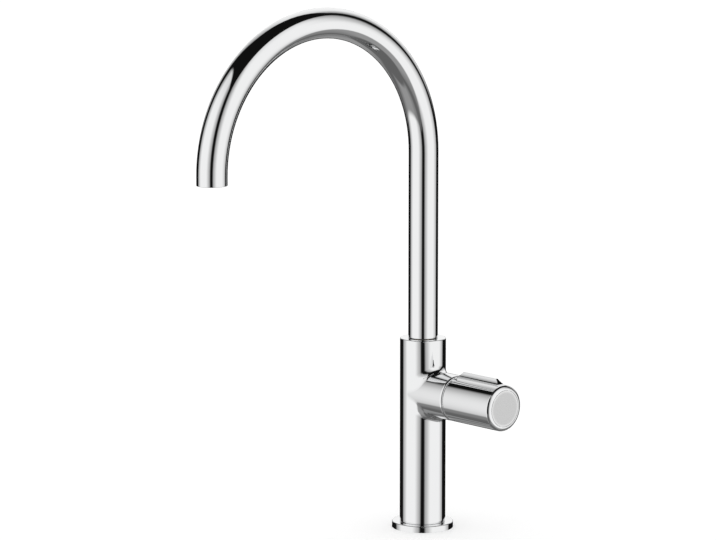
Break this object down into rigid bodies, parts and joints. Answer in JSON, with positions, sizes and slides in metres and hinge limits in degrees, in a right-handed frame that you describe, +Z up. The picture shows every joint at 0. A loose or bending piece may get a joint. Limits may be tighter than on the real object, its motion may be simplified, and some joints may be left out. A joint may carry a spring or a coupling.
{
  "type": "kitchen mixer tap",
  "caption": "Chromed kitchen mixer tap: slim upright body on a round foot, swivelling swan-neck spout and a turning knob with a grip rib on a side branch.",
  "frame": {"origin": "on the deck, at the middle of the foot ring and the mouth of the hose well", "axes": "+Z up along the body, -Y to the front along the spout, +X to the right along the knob's branch"},
  "size_m": [0.1115, 0.2379, 0.3983],
  "materials": {
    "chrome": "polished chrome plate",
    "cap_chrome": "fine satin chrome plate",
    "brass": "machined",
    "steel": "turned",
    "rubber": "matt black",
    "ceramic": "lapped",
    "cartridge_plastic": "moulded",
    "aerator_plastic": "moulded",
    "ring_plastic": "moulded"
  },
  "bodies": {
    "body": {"mixer_body": "chrome", "base_flange": "chrome", "base_gasket": "rubber", "spout_glide_ring": "ring_plastic", "spout_lock_screw": "steel", "cartridge_base": "cartridge_plastic", "cartridge_seals": "rubber", "fixed_disc": "ceramic", "cartridge_housing": "cartridge_plastic", "cartridge_nut": "brass", "knob_glide_ring": "ring_plastic"},
    "handle": {"knob": "chrome", "knob_cap": "cap_chrome", "knob_screw": "steel", "cartridge_stem": "brass", "stem_o_ring": "rubber", "disc_carrier": "cartridge_plastic", "moving_disc": "ceramic"},
    "spout": {"spout_tube": "chrome", "spout_nipple": "brass", "spout_o_rings": "rubber", "outlet_bush": "brass", "aerator_seal": "rubber", "aerator_housing": "aerator_plastic", "aerator_insert": "aerator_plastic"}
  },
  "joints": [
    {"name": "knob_turn", "type": "hinge", "parent": "body", "child": "handle", "pos_m": [0, 0, 0.1039], "axis": [1, 0, 0], "range_deg": [0, 120]},
    {"name": "spout_swivel", "type": "hinge", "parent": "body", "child": "spout", "pos_m": [0, 0, 0.1449], "axis": [0, 0, 1], "continuous": true}
  ]
}
